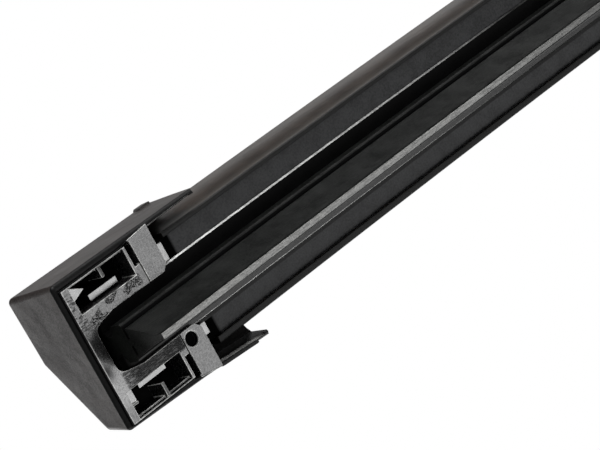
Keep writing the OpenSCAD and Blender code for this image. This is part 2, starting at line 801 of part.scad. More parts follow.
wiping_rubber();
rail(-1);  // leeward_rail
rail(1);  // windward_rail
spoiler(-1);  // spoiler_near
spoiler(1);  // spoiler_far
cap_shell(-1);  // cap_shell_near
cap_shell(1);  // cap_shell_far
cap_retainer(-1);  // cap_retainer_near
cap_retainer(1);  // cap_retainer_far
connector_bracket();
connector_shroud();
pivot_pin();
pivot_bush(-1);  // pivot_bush_lee
pivot_bush(1);  // pivot_bush_wind
arm_adapter();
adapter_cover();
cover_hinge_pin();
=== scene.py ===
import math

import bmesh
import bpy
from mathutils import Matrix, Vector
from mathutils.geometry import tessellate_polygon


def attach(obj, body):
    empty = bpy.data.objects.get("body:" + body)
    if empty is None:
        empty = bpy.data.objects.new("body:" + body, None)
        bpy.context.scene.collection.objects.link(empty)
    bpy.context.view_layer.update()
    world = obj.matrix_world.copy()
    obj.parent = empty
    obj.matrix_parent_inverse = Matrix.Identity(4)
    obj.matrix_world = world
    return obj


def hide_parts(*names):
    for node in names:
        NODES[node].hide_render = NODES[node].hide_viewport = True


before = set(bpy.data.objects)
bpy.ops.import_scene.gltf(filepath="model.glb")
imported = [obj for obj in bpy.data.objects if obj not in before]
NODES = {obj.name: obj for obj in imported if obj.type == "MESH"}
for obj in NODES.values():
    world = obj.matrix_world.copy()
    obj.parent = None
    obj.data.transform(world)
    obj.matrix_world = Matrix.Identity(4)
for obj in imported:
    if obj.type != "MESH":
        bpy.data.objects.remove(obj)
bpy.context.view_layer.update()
MM = 0.001

# Sizes of the part, in millimetres, as its source has them
BLADE_LEN = 600.0
BOW_R = 1780.0
PIVOT_H = 12.0
FRAME_DROP = 1.3
CAP_STATION = 8.5
SHELL_END = -0.35
CAP_ANGLE = (BLADE_LEN / 2 + SHELL_END - CAP_STATION) / BOW_R
RAIL_IN, RAIL_W, RAIL_T = 3.05, 3.55, 0.9
RAIL_OUT = RAIL_IN + RAIL_W
RUBBER_END, RAIL_END, SPOILER_END = 2.88, 11.15, 15.7
SPOILER_INNER = 23.5


def bow_angle(x):
    """Angle of the bow at x millimetres from the retainer's end bar."""
    return CAP_ANGLE - (x - CAP_STATION) / BOW_R


def on_bow(angle, y, up):
    """A point of the blade: y across it, up from the underside of the rails, in metres."""
    r = BOW_R + up
    return Vector((r * math.sin(angle), y, r * math.cos(angle) - BOW_R - PIVOT_H)) * MM


CAP_TURN = Matrix.Rotation(-CAP_ANGLE, 3, "Y")


def at_cap(v, direction=False):
    """A point or a direction of the near cap's own straight frame, in the part's frame."""
    if direction:
        return CAP_TURN @ Vector(v)
    v = Vector(v) + Vector((-CAP_STATION, 0, BOW_R - FRAME_DROP))
    return (CAP_TURN @ v + Vector((0, 0, -PIVOT_H - BOW_R))) * MM


# Shader helpers


def new_material(name):
    m = bpy.data.materials.new(name)
    m.use_nodes = True
    m.node_tree.nodes.clear()
    return m, m.node_tree


def add(tree, kind, inputs=None, **settings):
    """Adds a node. A socket among the inputs is linked, any other value is set."""
    n = tree.nodes.new(kind)
    for k, v in settings.items():
        setattr(n, k, v)
    for k, v in (inputs or {}).items():
        if isinstance(v, bpy.types.NodeSocket):
            tree.links.new(v, n.inputs[k])
        else:
            n.inputs[k].default_value = v
    return n


def maths(tree, operation, a, b=None, clamp=False):
    inputs = {0: a} if b is None else {0: a, 1: b}
    return add(tree, "ShaderNodeMath", inputs, operation=operation, use_clamp=clamp).outputs[0]


def product(tree, *values):
    out = values[0]
    for v in values[1:]:
        out = maths(tree, "MULTIPLY", out, v)
    return out


def blend(tree, share, a, b):
    """From colour a to colour b as the share grows."""
    return add(tree, "ShaderNodeMix", {0: share, 6: a, 7: b}, data_type="RGBA").outputs[2]


def noise(tree, scale, detail=3.0, rough=0.55, distortion=0.0):
    """Noise in the part's coordinates in millimetres, times a scale for each axis."""
    place = add(tree, "ShaderNodeTexCoord").outputs["Object"]
    place = add(tree, "ShaderNodeMapping", {"Vector": place, "Scale": [s / MM for s in scale]}).outputs[0]
    return add(tree, "ShaderNodeTexNoise", {
        "Vector": place, "Scale": 1.0, "Detail": detail, "Roughness": rough, "Distortion": distortion}).outputs[0]


def spread(tree, value, low, high, lo_in=0.3, hi_in=0.7):
    """Maps a noise to the range from low to high."""
    return add(tree, "ShaderNodeMapRange", {"Value": value, "From Min": lo_in, "From Max": hi_in,
                                            "To Min": low, "To Max": high}).outputs[0]


def tint(tree, value, dark, light, lo_in=0.35, hi_in=0.65):
    """Runs from a dark colour to a light one as the value grows."""
    return blend(tree, spread(tree, value, 0.0, 1.0, lo_in, hi_in), (*dark, 1), (*light, 1))


def bump(tree, height, depth, normal=None):
    """Adds a relief of some millimetres' depth to a normal."""
    inputs = {"Height": height, "Distance": depth * MM, "Strength": 1.0}
    if normal:
        inputs["Normal"] = normal
    return add(tree, "ShaderNodeBump", inputs).outputs[0]


def cap_frame(tree):
    """Coordinates in a cap's own frame, in millimetres, the same for both caps."""
    at = add(tree, "ShaderNodeSeparateXYZ", {0: add(tree, "ShaderNodeTexCoord").outputs["Object"]}).outputs
    along = maths(tree, "MULTIPLY", maths(tree, "ABSOLUTE", at[0]), -1.0)
    near = add(tree, "ShaderNodeCombineXYZ", {0: along, 1: at[1], 2: at[2]}).outputs[0]
    back = Matrix.Rotation(CAP_ANGLE, 3, "Y")
    offset = back @ Vector((0, 0, PIVOT_H + BOW_R)) - Vector((-CAP_STATION, 0, BOW_R - FRAME_DROP))
    local = add(tree, "ShaderNodeMapping", {"Vector": near, "Scale": (1000, 1000, 1000),
                                            "Rotation": (0, CAP_ANGLE, 0), "Location": offset}).outputs[0]
    return add(tree, "ShaderNodeSeparateXYZ", {0: local}).outputs


def window(tree, value, low, high, soft):
    """One between low and high, nought outside, with soft edges."""
    ramps = [add(tree, "ShaderNodeMapRange", {"Value": value, "From Min": v - soft, "From Max": v + soft},
                 interpolation_type="SMOOTHSTEP").outputs[0] for v in (low, high)]
    return maths(tree, "SUBTRACT", *ramps)


def field(tree, x, y, place):
    """A soft rectangle of the retainer's face."""
    return product(tree, window(tree, x, *place[0]), window(tree, y, *place[1]))


# Colours of the painted shade near a cap, and of where a painted highlight has faded out
SHADE = (0.0015, 0.0015, 0.0015, 1)
FADED_HIGHLIGHT = (0.004, 0.004, 0.004, 1)


def plastic(name, dark, light, rough, grain, wave=None, streak=None, specular=0.5, metallic=0.0, coat=0.0,
            blotch=(0.35, 0.35, 0.35), mottle=0.0, end=None, fade=None):
    """A moulded, painted or extruded surface: blotches in colour and gloss, a fine grain, soft waves and
    streaks. Grain, wave and streak are a scale per millimetre and a depth. end gives the two places in the cap's
    frame between which a piece comes out of the painted shade of its cap, fade the places between which its
    painted highlight fades out, darker and less glossy, and the share of it that is left."""
    m, tree = new_material(name)
    clouds = noise(tree, blotch, 4.0)
    fine = noise(tree, (grain[0],) * 3, 2.0)
    normal = bump(tree, fine, grain[1])
    if wave:
        normal = bump(tree, noise(tree, wave[0], 2.0, 0.5), wave[1], normal)
    if streak:
        normal = bump(tree, noise(tree, streak[0], 3.0, 0.6), streak[1], normal)
    both = maths(tree, "ADD", spread(tree, clouds, -0.5, 0.5), spread(tree, fine, -0.5, 0.5))
    colour = tint(tree, both, dark, light, -0.6, 0.6)
    gloss = spread(tree, both, specular * (1 - mottle), specular * (1 + mottle), -0.6, 0.6)
    # painted shade: near the cap the colour falls to the shade colour and the gloss to nothing
    if end:
        clear = spread(tree, cap_frame(tree)[0], 0.0, 1.0, *end)
        colour = blend(tree, clear, SHADE, colour)
        gloss = product(tree, gloss, clear)
    # painted highlight: away from the cap the lighter colour and the gloss fade to a dark colour
    if fade:
        left = spread(tree, cap_frame(tree)[0], 1.0, fade[2], fade[0], fade[1])
        colour = blend(tree, left, FADED_HIGHLIGHT, colour)
        gloss = product(tree, gloss, left)
    shader = add(tree, "ShaderNodeBsdfPrincipled", {
        "Base Color": colour, "Roughness": spread(tree, both, rough[0], rough[1], -0.8, 0.8),
        "Metallic": metallic, "Coat Weight": coat, "Coat Roughness": 0.15, "Normal": normal,
        "Specular IOR Level": gloss})
    add(tree, "ShaderNodeOutputMaterial", {0: shader.outputs[0]})
    return m


# Places on the retainer, in the cap's frame: from, to and softness in x, then in y
LEE_STRIP = ((1.6, 9.9, 0.3), (-5.0, -3.0, 0.15))
WIND_STRIP = ((1.9, 11.0, 0.3), (3.0, 5.0, 0.15))
DULL_SPOT = ((-1.0, 1.0, 0.6), (1.0, 2.8, 0.8))
SCORED_BAR = ((-1.0, 1.5, 0.1), (-7.6, -3.0, 0.6))
BRIGHT_BAR = ((-1.0, 3.0, 0.8), (2.6, 6.5, 1.4))
# How dull the spot, the windward strip and the scuffs are, and how much brighter the bright bar is
SPOT_DULL, STRIP_DULL, SCUFF_DULL, BAR_BRIGHT = 0.9, 0.75, 0.95, 0.5
# The outer edges up to the front plates lie in the shade of the shell's rim, painted dark; a thin light line
# painted beside them stands in for the highlight along their edge
EDGE_X, EDGE_Y, EDGE_SOFT = 0.16, 8.32, 0.04
PLATE_X, PLATE_SOFT = 10.8, 0.05
END_LINE, END_LINE_Y, SIDE_LINE, SIDE_LINE_X = (0.15, 0.27), 8.3, (8.21, 8.33), 0.2
LINE_SOFT, LINE_COLOUR = 0.02, (0.3, 0.3, 0.29, 1)
RECESS_AT, RECESS_FLOOR_R, RECESS_R_SOFT = (12.13, 4.61), 0.86, 0.03
RECESS_Z = (0.1, 1.2, 0.05)
# Limits that no place on the retainer reaches
BELOW, BEYOND = -1.0, 30.0
# Depths of its reliefs, in millimetres
FINE_DEPTH, SINK_DEPTH, SCUFF_DEPTH, RIB_DEPTH = 0.0014, 0.05, 0.04, 0.03


def retainer(name, dark, light, specular):
    """Glossy moulding: fine grain, shallow sinks, a dull spot and scored lines on the end bar, scuffed strips
    beside the slot, outer edges in painted shade of the shell's rim with a painted highlight line beside them,
    and the round recess painted dark as shade."""
    m, tree = new_material(name)
    x, y, z = cap_frame(tree)
    out_y = maths(tree, "ABSOLUTE", y)
    fine = noise(tree, (5.0,) * 3, 2.0)
    clouds = noise(tree, (0.5,) * 3, 3.0)

    wind_strip = field(tree, x, y, WIND_STRIP)
    scratches = spread(tree, noise(tree, (2.4, 3.6, 3.6), 3.0, 0.7, 2.0), 0.0, 1.0, 0.49, 0.52)
    worn = spread(tree, noise(tree, (0.35, 0.5, 0.5), 1.0), 0.0, 1.0, 0.47, 0.51)
    scuffs = product(tree, scratches, field(tree, x, y, LEE_STRIP), worn)
    ribs = spread(tree, noise(tree, (0.5, 4.0, 4.0), 3.0, 0.65), 0.0, 1.0, 0.42, 0.58)
    normal = bump(tree, fine, FINE_DEPTH)
    normal = bump(tree, clouds, SINK_DEPTH, normal)
    normal = bump(tree, scuffs, SCUFF_DEPTH, normal)
    normal = bump(tree, product(tree, ribs, wind_strip), RIB_DEPTH, normal)

    dull = product(tree, field(tree, x, y, DULL_SPOT), SPOT_DULL)
    dull = maths(tree, "MAXIMUM", dull, product(tree, wind_strip, STRIP_DULL))
    dull = maths(tree, "MAXIMUM", dull, product(tree, scuffs, SCUFF_DULL))
    lines = spread(tree, noise(tree, (1.2, 5.0, 5.0), 2.0), 0.0, 0.8, 0.46, 0.56)
    shine = maths(tree, "SUBTRACT", 1.0, dull)
    shine = maths(tree, "SUBTRACT", shine, product(tree, field(tree, x, y, SCORED_BAR), lines), clamp=True)
    shine = maths(tree, "ADD", shine, product(tree, field(tree, x, y, BRIGHT_BAR), BAR_BRIGHT))

    # painted shade along the outer edges: colour and gloss drop there
    inner = product(tree, window(tree, out_y, BELOW, EDGE_Y, EDGE_SOFT),
                    window(tree, x, EDGE_X, BEYOND, EDGE_SOFT))
    clear = maths(tree, "MAXIMUM", inner, window(tree, x, PLATE_X, BEYOND, PLATE_SOFT))
    # painted shade: the recess's floor and walls lose the lighter colour and all gloss
    dx, dy = (maths(tree, "SUBTRACT", v, c) for v, c in zip((x, y), RECESS_AT))
    apart = add(tree, "ShaderNodeCombineXYZ", {0: dx, 1: dy}).outputs[0]
    apart = add(tree, "ShaderNodeVectorMath", {0: apart}, operation="LENGTH").outputs["Value"]
    recess = product(tree, window(tree, apart, BELOW, RECESS_FLOOR_R, RECESS_R_SOFT), window(tree, z, *RECESS_Z))
    clear = maths(tree, "SUBTRACT", clear, recess, clamp=True)

    # painted highlight: a thin, broken light line along the outer edges
    end_line = product(tree, window(tree, x, *END_LINE, LINE_SOFT),
                       window(tree, out_y, BELOW, END_LINE_Y, LINE_SOFT))
    side_line = product(tree, window(tree, out_y, *SIDE_LINE, LINE_SOFT),
                        window(tree, x, SIDE_LINE_X, PLATE_X, LINE_SOFT))
    broken = spread(tree, noise(tree, (0.8, 0.8, 0.8), 3.0), 0.2, 1.0, 0.4, 0.6)
    edge_glint_line = product(tree, maths(tree, "MAXIMUM", end_line, side_line), broken)
    colour = tint(tree, product(tree, clear, clouds), dark, light, 0.3, 0.62)
    shader = add(tree, "ShaderNodeBsdfPrincipled", {
        "Base Color": blend(tree, edge_glint_line, colour, LINE_COLOUR), "Roughness": spread(tree, fine, 0.2, 0.34),
        "Specular IOR Level": product(tree, shine, clear, specular), "Normal": normal})
    add(tree, "ShaderNodeOutputMaterial", {0: shader.outputs[0]})
    return m


FINISHES = {
    "squeegee_rubber": dict(
        dark=(0.002, 0.0022, 0.002), light=(0.005, 0.0055, 0.005), rough=(0.28, 0.40), grain=(6.0, 0.004),
        streak=((0.03, 5.0, 5.0), 0.02), specular=0.09, mottle=0.4),
    # painted shade: the channel under the flange and the slit are near black and barely glossy
    "squeegee_channel": dict(
        dark=(0.001, 0.001, 0.001), light=(0.002, 0.002, 0.002), rough=(0.5, 0.6), grain=(6.0, 0.004),
        specular=0.04),
    # painted light: the lip's cut end is painted light grey for the light it catches
    "squeegee_cut": dict(
        dark=(0.05, 0.05, 0.048), light=(0.27, 0.27, 0.26), rough=(0.3, 0.45), grain=(8.0, 0.006),
        streak=((0.05, 7.0, 7.0), 0.03), blotch=(0.04, 5.0, 5.0), fade=(58, 92, 0.35)),
    # painted highlight: the flange's edges are near white for the light they catch
    "squeegee_edge": dict(
        dark=(0.45, 0.45, 0.44), light=(0.98, 0.98, 0.96), rough=(0.25, 0.4), grain=(2.0, 0.006),
        blotch=(0.4, 2.5, 2.5), specular=1.0, fade=(24, 78, 0.03)),
    # painted light: the windward flange's underside is a lighter copy of the rubber, as lit, and comes out of
    # painted shade near the cap
    "squeegee_groove": dict(
        dark=(0.003, 0.003, 0.003), light=(0.034, 0.034, 0.033), rough=(0.3, 0.45), grain=(6.0, 0.006),
        blotch=(0.03, 5.0, 5.0), specular=0.3, end=(3.5, 9.0)),
    # painted shade: the rail is dark where it runs into the cap
    "rail_steel": dict(
        dark=(0.004, 0.0042, 0.0048), light=(0.02, 0.0205, 0.0215), rough=(0.45, 0.65), grain=(4.0, 0.015),
        specular=0.34, mottle=0.3, blotch=(0.5, 0.5, 0.5), end=(16.7, 17.1)),
    # painted shade: the spoiler grows darker towards the cap
    "spoiler_plastic": dict(
        dark=(0.008, 0.0055, 0.004), light=(0.021, 0.0142, 0.0098), rough=(0.30, 0.42), grain=(5.0, 0.002),
        streak=((0.02, 2.5, 2.5), 0.02), mottle=0.15, end=(15.0, 22.0)),
    # painted shade: a darker, duller copy of the spoiler for its claws' undersides and the rail's shaded strip
    "claw_and_rail_shade": dict(
        dark=(0.003, 0.003, 0.003), light=(0.007, 0.007, 0.0065), rough=(0.35, 0.5), grain=(5.0, 0.006),
        streak=((0.02, 2.5, 2.5), 0.03), specular=0.12, mottle=0.15),
    "cap_plastic": dict(
        dark=(0.006, 0.0046, 0.0042), light=(0.020, 0.0152, 0.0136), rough=(0.38, 0.44), grain=(5.0, 0.006),
        wave=((0.25, 0.25, 0.25), 0.14), specular=0.45, mottle=0.4, blotch=(0.16, 0.16, 0.16)),
    # glossy finish, with a lighter colour painted as the highlights these faces catch
    "glossy_lit_plastic": dict(
        dark=(0.03, 0.03, 0.03), light=(0.06, 0.06, 0.058), rough=(0.2, 0.34), grain=(4.0, 0.006),
        specular=1.0, coat=0.6, blotch=(1.2, 1.2, 1.2)),
    # painted shade: the shell's rim is a darker, duller copy of its plastic
    "rim_shade_plastic": dict(
        dark=(0.0015, 0.0015, 0.0015), light=(0.004, 0.004, 0.004), rough=(0.35, 0.5), grain=(4.0, 0.01),
        specular=0.12),
    # painted shade: the inside of the shell is a darker, duller copy of its plastic
    "inner_shade_plastic": dict(
        dark=(0.002, 0.002, 0.002), light=(0.006, 0.0055, 0.005), rough=(0.35, 0.5), grain=(4.0, 0.01),
        specular=0.12),
    "shroud_plastic": dict(
        dark=(0.012, 0.012, 0.012), light=(0.02, 0.02, 0.02), rough=(0.42, 0.55), grain=(5.0, 0.02),
        wave=((0.2, 0.2, 0.2), 0.04)),
    "bracket_steel": dict(
        dark=(0.30, 0.31, 0.32), light=(0.42, 0.43, 0.45), rough=(0.28, 0.48), grain=(3.0, 0.01),
        metallic=1.0),
    "pin_steel": dict(
        dark=(0.40, 0.41, 0.42), light=(0.52, 0.53, 0.55), rough=(0.2, 0.35), grain=(4.0, 0.006),
        metallic=1.0),
    "bush_plastic": dict(
        dark=(0.55, 0.55, 0.52), light=(0.65, 0.65, 0.62), rough=(0.35, 0.5), grain=(5.0, 0.005)),
    "adapter_plastic": dict(
        dark=(0.012, 0.012, 0.012), light=(0.02, 0.02, 0.02), rough=(0.35, 0.5), grain=(5.0, 0.015),
        wave=((0.3, 0.3, 0.3), 0.04)),
    "cover_plastic": dict(
        dark=(0.012, 0.012, 0.012), light=(0.02, 0.02, 0.02), rough=(0.35, 0.5), grain=(5.0, 0.015),
        wave=((0.3, 0.3, 0.3), 0.04)),
}
MATERIALS = {name: plastic(name, **finish) for name, finish in FINISHES.items()}
MATERIALS["retainer_plastic"] = retainer("retainer_plastic", (0.002,) * 3, (0.012,) * 3, 0.72)
# painted highlight: a light copy of the retainer's plastic for the broken edges and the mouth's chamfer
MATERIALS["edge_highlight_plastic"] = retainer("edge_highlight_plastic", (0.01,) * 3, (0.6, 0.6, 0.58), 1.0)

# Sections, in millimetres: y across the blade, up from the underside of the rails


def fillet(points, radius, steps=3):
    """Rounds the corners of a closed outline. radius is one value or one for each point."""
    out = []
    n = len(points)
    for i, p in enumerate(points):
        r = radius[i] if isinstance(radius, (list, tuple)) else radius
        a, b = Vector(points[i - 1]) - Vector(p), Vector(points[(i + 1) % n]) - Vector(p)
        la, lb = a.length, b.length
        a, b = a / la, b / lb
        half = math.acos(max(-1.0, min(1.0, a.dot(b)))) / 2
        if r <= 0 or half > math.radians(84):
            out.append(Vector(p))
            continue
        t = min(r / math.tan(half), 0.45 * la, 0.45 * lb)
        start, end = Vector(p) + a * t, Vector(p) + b * t
        for k in range(steps + 1):
            u = k / steps
            out.append(start * (1 - u) ** 2 + Vector(p) * (2 * u * (1 - u)) + end * u ** 2)
    return out


def mirrored(half):
    return half + [(-y, z) for y, z in reversed(half)]


def sagging(a, b, sag, n):
    """Points of a shallow curve from a to b, without its ends."""
    a, b = Vector(a), Vector(b)
    d = b - a
    side = Vector((d.y, -d.x)).normalized()
    return [tuple(a + d * (i / n) + side * (4 * sag * (i / n) * (1 - i / n))) for i in range(1, n)]


def arc(c, r, a0, a1, n):
    return [(c[0] + r * math.cos(math.radians(a0 + (a1 - a0) * i / n)),
             c[1] + r * math.sin(math.radians(a0 + (a1 - a0) * i / n))) for i in range(n + 1)]


RUBBER_HALF = [(3.4, 1.55), (3.6, 1.35), (3.6, 0.95), (3.0, 0.95), (3.0, -0.05), (3.64, -0.05), (3.8, -0.13),
               (3.8, -0.2), (3.67, -0.48), (1.6, -0.48), (1.1, -0.88), (1.1, -1.75), (2.025, -2.05),
               (2.275, -2.25), (2.275, -3.85), (2.025, -4.1), (0.4, -4.1), (0.4, -4.45), (1.725, -4.45),
               (1.725, -4.7), (0.35, -9.4), (0.35, -10.2)]
# the flange shades the windward rail's underside between these two places
FLANGE_SHADE = (3.1, 4.3)
RAIL = [(RAIL_IN, 0), (FLANGE_SHADE[1], 0), (RAIL_OUT, 0), (RAIL_OUT, RAIL_T), (RAIL_IN, RAIL_T)]
RAIL_ROUNDING = [0.12, 0, 0.12, 0.12, 0.12]
RIDGE = (-7.45, 7.1)
SPOILER = ([(-6.85, -0.8), (-7.0, -0.6), (-7.0, -0.1)] + sagging((-7.0, -0.1), RIDGE, 0.75, 14) + [RIDGE]
           + arc((-7.1, 7.15), 0.35, 180, 70, 5) + sagging((-6.7, 7.4), (6.9, 1.7), 1.2, 18)
           + arc((6.9, 1.35), 0.35, 90, 0, 4)
           + [(7.25, -0.6), (7.1, -0.8), (6.42, -0.8), (6.42, -0.05), (6.65, -0.05), (6.65, 0.95),
              (3.9, 0.95), (3.9, 1.75), (-3.9, 1.75), (-3.9, 0.95), (-6.65, 0.95), (-6.65, -0.05),
              (-6.42, -0.05), (-6.42, -0.8)])
CAVITY = [(-5.3, 2.5), (-5.3, 5.2), (-0.6, 2.6), (-0.6, 2.5)]
RUBBER_ROUNDING, SPOILER_ROUNDING = 0.07, 0.1

SWEEP_STEP = 6.0
MERGE = 1e-7
SHARP_ANGLE = math.radians(30.0)


def finish_mesh(name, verts, faces, face_material, materials, body):
    me = bpy.data.meshes.new(name)
    me.from_pydata([tuple(v) for v in verts], [], faces)
    for m in materials:
        me.materials.append(m)
    for p, index in zip(me.polygons, face_material):
        p.material_index = index
    bm = bmesh.new()
    bm.from_mesh(me)
    bmesh.ops.remove_doubles(bm, verts=bm.verts, dist=MERGE)
    bmesh.ops.recalc_face_normals(bm, faces=bm.faces)
    bm.to_mesh(me)
    bm.free()
    for p in me.polygons:
        p.use_smooth = True
    me.set_sharp_from_angle(angle=SHARP_ANGLE)
    ob = bpy.data.objects.new(name, me)
    bpy.context.scene.collection.objects.link(ob)
    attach(ob, body)
    return ob


def sweep(name, loops, a0, a1, materials, pick):
    """Sweeps closed outlines (the outer one first) along the bow, with flat ends. pick gives the material of
    the strip between two points of the outer outline."""
    count = max(2, int(abs(a1 - a0) * BOW_R / SWEEP_STEP))
    offsets = [sum(len(l) for l in loops[:k]) for k in range(len(loops))]
    total = sum(len(l) for l in loops)
    verts = [on_bow(a0 + (a1 - a0) * i / count, p[0], p[1])
             for i in range(count + 1) for loop in loops for p in loop]
    faces, mats = [], []
    for i in range(count):
        here, there = i * total, (i + 1) * total
        for k, (s, loop) in enumerate(zip(offsets, loops)):
            for j in range(len(loop)):
                after = (j + 1) % len(loop)
                faces.append((here + s + j, here + s + after, there + s + after, there + s + j))
                mats.append(pick(loop[j], loop[after]) if k == 0 else 0)
    flat = [[Vector((p[0], p[1], 0)) for p in loop] for loop in loops]
    for i in (0, count):
        for tri in tessellate_polygon(flat):
            faces.append(tuple(i * total + t for t in tri))
            mats.append(0)
    return finish_mesh(name, verts, faces, mats, [MATERIALS[m] for m in materials], "blade")


RUBBER_MATERIALS = ["squeegee_" + kind for kind in ("rubber", "cut", "edge", "channel", "groove")]
# Where the rubber's surfaces lie: distance from the middle, or height
LIP_END, FLANGE_EDGE, FLANGE_UNDERSIDE = -10.12, (3.66, -0.12), (2.4, -0.4)
CHANNEL, SLIT = (-2.0, -0.4), (-4.6, -4.05)
CLAW_UNDERSIDE = -0.45


def rubber_finish(p, q):
    """The lip's cut end is painted lighter as the light it catches, the flange's edges light as their
    highlights and the windward flange's underside lighter as lit; the channel and the slit are painted near black
    as shade.
    """
    y, up = abs(p[0] + q[0]) / 2, (p[1] + q[1]) / 2
    if up < LIP_END:
        kind = "cut"
    elif y > FLANGE_EDGE[0] and up < FLANGE_EDGE[1]:
        kind = "edge"
    elif p[0] > 0 and y > FLANGE_UNDERSIDE[0] and up < FLANGE_UNDERSIDE[1]:
        kind = "groove"
    else:
        kind = "channel" if CHANNEL[0] < up < CHANNEL[1] or SLIT[0] < up < SLIT[1] else "rubber"
    return RUBBER_MATERIALS.index("squeegee_" + kind)


def rail_finish(p, q):
    """The part of the windward rail's underside next to the flange lies in its shade."""
    return 1 if FLANGE_SHADE[0] < (p[0] + q[0]) / 2 < FLANGE_SHADE[1] and p[1] + q[1] < 0.02 else 0


def spoiler_finish(p, q):
    """The claws' undersides are painted dark and dull as shade."""
    return 1 if p[1] + q[1] < 2 * CLAW_UNDERSIDE else 0


rubber = sweep("squeegee", [fillet(mirrored(RUBBER_HALF), RUBBER_ROUNDING)], -bow_angle(RUBBER_END),
               bow_angle(RUBBER_END), RUBBER_MATERIALS, rubber_finish)
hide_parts("wiping_rubber")
for side, node in ((-1, "leeward_rail"), (1, "windward_rail")):
    outline = fillet([(side * y, z) for y, z in RAIL], RAIL_ROUNDING, 4)
    rail = sweep(node.replace("rail", "steel_rail"), [outline], -bow_angle(RAIL_END), bow_angle(RAIL_END),
                 ["rail_steel", "claw_and_rail_shade"], rail_finish)
    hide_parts(node)
for side, node in ((-1, "spoiler_near"), (1, "spoiler_far")):
    a_in, a_out = side * SPOILER_INNER / BOW_R, side * bow_angle(SPOILER_END)
    spoiler = sweep(node.replace("spoiler", "spoiler_strip"),
                    [fillet(SPOILER, SPOILER_ROUNDING), [Vector(p) for p in CAVITY]],
                    a_out, a_in, ["spoiler_plastic", "claw_and_rail_shade"], spoiler_finish)
    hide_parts(node)

# The CAD nodes that stay get their finish, and their edges are broken as on moulded and pressed pieces:
# the material and the width of the broken edge in millimetres

KEPT = {
    "cap_shell_near": ("cap_plastic", 0.05), "cap_shell_far": ("cap_plastic", 0.05),
    "cap_retainer_near": ("retainer_plastic", 0.07), "cap_retainer_far": ("retainer_plastic", 0.07),
    "connector_bracket": ("bracket_steel", 0.08), "connector_shroud": ("shroud_plastic", 0.15),
    "pivot_pin": ("pin_steel", 0.06), "pivot_bush_lee": ("bush_plastic", 0.08),
    "pivot_bush_wind": ("bush_plastic", 0.08), "arm_adapter": ("adapter_plastic", 0.15),
    "adapter_cover": ("cover_plastic", 0.25), "cover_hinge_pin": ("pin_steel", 0.08),
}
# A cap's material slots: its own plastic, edges with painted highlights, glossy faces painted lighter as
# highlights, and the rim and the inside painted in shade
OWN, EDGE, GLOSSY_LIT, RIM, INNER = range(5)
CAP_EXTRAS = ("edge_highlight_plastic", "glossy_lit_plastic", "rim_shade_plastic", "inner_shade_plastic")

# Zones of the caps, in their frame, in millimetres: the shell's rim and mouth, and the room inside the shell
RIM_H, WIND_RIM_H, WIND_RIM_Y, MOUTH_X = 1.1, 1.6, 8.5, 14.2
RIM_FACING, CHAMFER_FACING = -0.08, -0.3
ROOM_X, ROOM_LEE, ROOM_WIND, ROOM_H, ROOM_SLOPE = 0.3, -8.9, 9.3, 9.5, 0.6
WALL_PROBE = 0.4
# Glossy faces, painted lighter as the highlights they catch: ranges of x, of the distance from the middle and of
# z for the legs' feet, the gussets, the bars in the pockets and the seats
DOWNWARD, FAR = -0.95, 100.0
GLOSSY_LIT_BOXES = (((3.9, 8.6), (5.1, 6.0), (1.6, 1.8)), ((1.1, 3.6), (5.0, FAR), (0.2, 0.7)),
                  ((5.5, 6.6), (6.3, FAR), (-FAR, 0.3)), ((14.0, FAR), (-FAR, 8.0), (0.3, 1.0)))


def cap_place(v):
    """A point of the part, in metres, in its cap's own frame, in millimetres."""
    v = Vector((-abs(v.x), v.y, v.z)) / MM - Vector((0, 0, -PIVOT_H - BOW_R))
    return CAP_TURN.inverted() @ v - Vector((-CAP_STATION, 0, BOW_R - FRAME_DROP))


def glossy_and_lit(at, facing):
    """Downward faces with a glossier finish and a lighter colour that is a painted highlight."""
    place = (at.x, abs(at.y), at.z)
    return facing.z < DOWNWARD and any(all(low < v < high for v, (low, high) in zip(place, box))
                                       for box in GLOSSY_LIT_BOXES)


def shell_zone(at, facing):
    """The material slot of a shell's face: the rim and the inside get darker, duller copies of the plastic as
    painted shade, the rim's inner chamfer at the mouth a painted highlight, the rest its own plastic.
    """
    if at.z < RIM_H and facing.z < RIM_FACING or at.z < WIND_RIM_H and at.y > WIND_RIM_Y and facing.y > 0:
        return EDGE if at.x > MOUTH_X and at.y * facing.y < CHAMFER_FACING * abs(at.y) else RIM
    probe = at + facing * WALL_PROBE
    roof = ROOM_H - ROOM_SLOPE * max(probe.y, 0)
    return INNER if ROOM_X < probe.x and ROOM_LEE < probe.y < ROOM_WIND and probe.z < roof else OWN


WELD = 2e-6
FLAT_ANGLE, BEVEL_ANGLE = math.radians(1.0), math.radians(35)


def paint_cap(node, mesh):
    for extra in CAP_EXTRAS:
        mesh.materials.append(MATERIALS[extra])
    for face in mesh.polygons:
        n = face.normal
        facing = CAP_TURN.inverted() @ Vector((-n.x if face.center.x > 0 else n.x, n.y, n.z))
        at = cap_place(face.center)
        if glossy_and_lit(at, facing):
            face.material_index = GLOSSY_LIT
        elif "shell" in node:
            face.material_index = shell_zone(at, facing)


